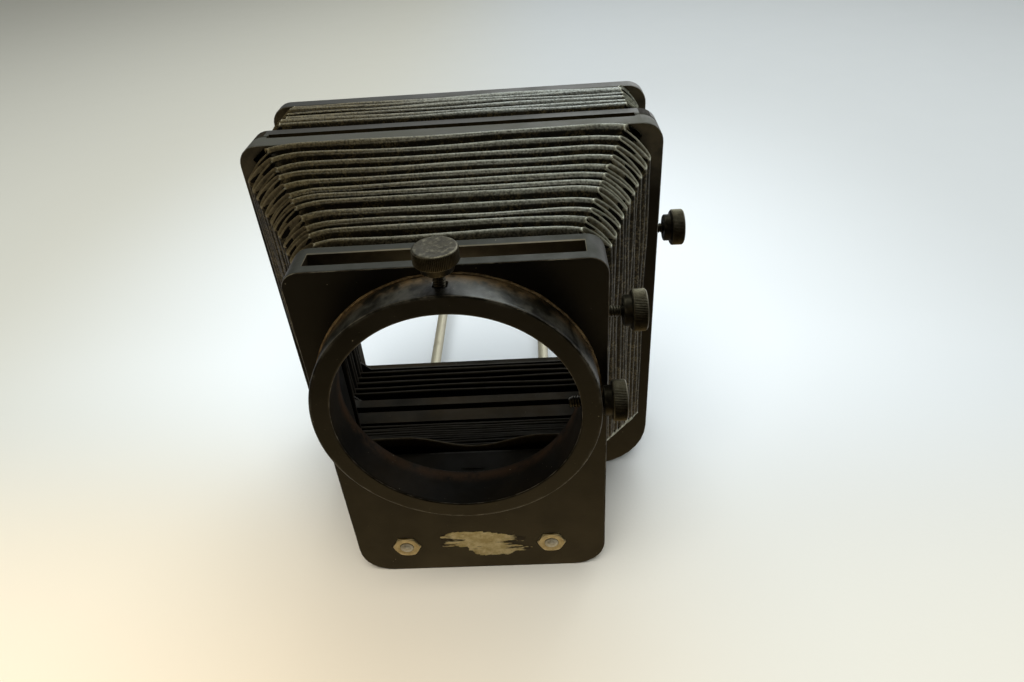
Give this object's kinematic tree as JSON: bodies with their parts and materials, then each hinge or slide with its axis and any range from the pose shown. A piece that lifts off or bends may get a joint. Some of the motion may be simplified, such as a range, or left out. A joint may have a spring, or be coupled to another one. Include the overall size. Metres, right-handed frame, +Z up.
{
  "type": "compendium lens hood",
  "caption": "Bellows lens hood: lens clamp ring on a slotted filter block, tapered and straight bellows, two frames sliding on twin rods, thumbscrew locks.",
  "frame": {"origin": "middle of the filter block's foot, on the surface the hood stands on", "axes": "+Y along the optical axis from the lens end to the hood's mouth, +Z up, +X to the side that the thumbscrews stick out of"},
  "size_m": [0.1428, 0.2289, 0.1468],
  "materials": {
    "phenolic": "matte, worn edges",
    "ring": "satin, worn to brown at the edges",
    "leathercloth": "pebbled, worn crests",
    "card": "matte",
    "screw_metal": "blackened, knurled, worn",
    "rod_metal": "satin",
    "brass": "dull"
  },
  "bodies": {
    "root": {"filter_block": "phenolic", "lens_clamp_ring": "ring", "rod_left": "rod_metal", "rod_right": "rod_metal", "front_nut_left": "brass", "front_nut_right": "brass", "jam_nut_left": "brass", "jam_nut_right": "brass", "rod_end_cap_left": "brass", "rod_end_cap_right": "brass", "front_bellows_lens_frame": "card", "front_bellows": "leathercloth"},
    "mid": {"mid_frame": "phenolic", "front_bellows_mid_frame": "card", "rear_bellows_mid_frame": "card", "rear_bellows": "leathercloth", "mid_bush_left": "brass", "mid_bush_right": "brass"},
    "mouth": {"mouth_frame": "phenolic", "rear_bellows_mouth_frame": "card", "mouth_bush_left": "brass", "mouth_bush_right": "brass"},
    "ring_top_screw_stem": {"ring_top_screw_stem": "screw_metal"},
    "ring_top_screw_head": {"ring_top_screw_head": "screw_metal"},
    "ring_side_screw_stem": {"ring_side_screw_stem": "screw_metal"},
    "ring_side_screw_head": {"ring_side_screw_head": "screw_metal"},
    "filter_lock_screw_stem": {"filter_lock_screw_stem": "screw_metal"},
    "filter_lock_screw_head": {"filter_lock_screw_head": "screw_metal"},
    "mask_lock_screw_stem": {"mask_lock_screw_stem": "screw_metal"},
    "mask_lock_screw_head": {"mask_lock_screw_head": "screw_metal"}
  },
  "joints": [
    {"name": "mid_frame_slide", "type": "slide", "parent": "root", "child": "mid", "axis": [0, 1, 0], "range_m": [-0.01, 0.07], "deforming": ["front_bellows"]},
    {"name": "mouth_frame_slide", "type": "slide", "parent": "mid", "child": "mouth", "axis": [0, 1, 0], "range_m": [-0.008, 0.035], "deforming": ["rear_bellows"]},
    {"name": "ring_top_screw_travel", "type": "slide", "parent": "root", "child": "ring_top_screw_stem", "axis": [0, 0, 1], "range_m": [-0.00317, 0.00397]},
    {"name": "ring_top_screw_turn", "type": "hinge", "parent": "ring_top_screw_stem", "child": "ring_top_screw_head", "pos_m": [-0.0003, -0.0125, 0.1305], "axis": [0, 0, 1], "range_deg": [-1470, 1830]},
    {"name": "ring_side_screw_travel", "type": "slide", "parent": "root", "child": "ring_side_screw_stem", "axis": [1, 0, 0], "range_m": [0, 0.00794]},
    {"name": "ring_side_screw_turn", "type": "hinge", "parent": "ring_side_screw_stem", "child": "ring_side_screw_head", "pos_m": [0.0426, -0.0125, 0.0838], "axis": [1, 0, 0], "range_deg": [-30, 3630]},
    {"name": "filter_lock_screw_travel", "type": "slide", "parent": "root", "child": "filter_lock_screw_stem", "axis": [1, 0, 0], "range_m": [-0.00317, 0.00317]},
    {"name": "filter_lock_screw_turn", "type": "hinge", "parent": "filter_lock_screw_stem", "child": "filter_lock_screw_head", "pos_m": [0.049, -0.0004, 0.107], "axis": [1, 0, 0], "range_deg": [-1470, 1470]},
    {"name": "mask_lock_screw_travel", "type": "slide", "parent": "mid", "child": "mask_lock_screw_stem", "axis": [1, 0, 0], "range_m": [-0.00238, 0.00317]},
    {"name": "mask_lock_screw_turn", "type": "hinge", "parent": "mask_lock_screw_stem", "child": "mask_lock_screw_head", "pos_m": [0.0689, 0.05135, 0.1057], "axis": [1, 0, 0], "range_deg": [-1110, 1470]}
  ],
  "couplings": [
    {"joint": "ring_top_screw_turn", "follows": "ring_top_screw_travel", "rad_per_m": 7915.8},
    {"joint": "ring_side_screw_turn", "follows": "ring_side_screw_travel", "rad_per_m": 7915.8},
    {"joint": "filter_lock_screw_turn", "follows": "filter_lock_screw_travel", "rad_per_m": 7915.8},
    {"joint": "mask_lock_screw_turn", "follows": "mask_lock_screw_travel", "rad_per_m": 7915.8}
  ]
}
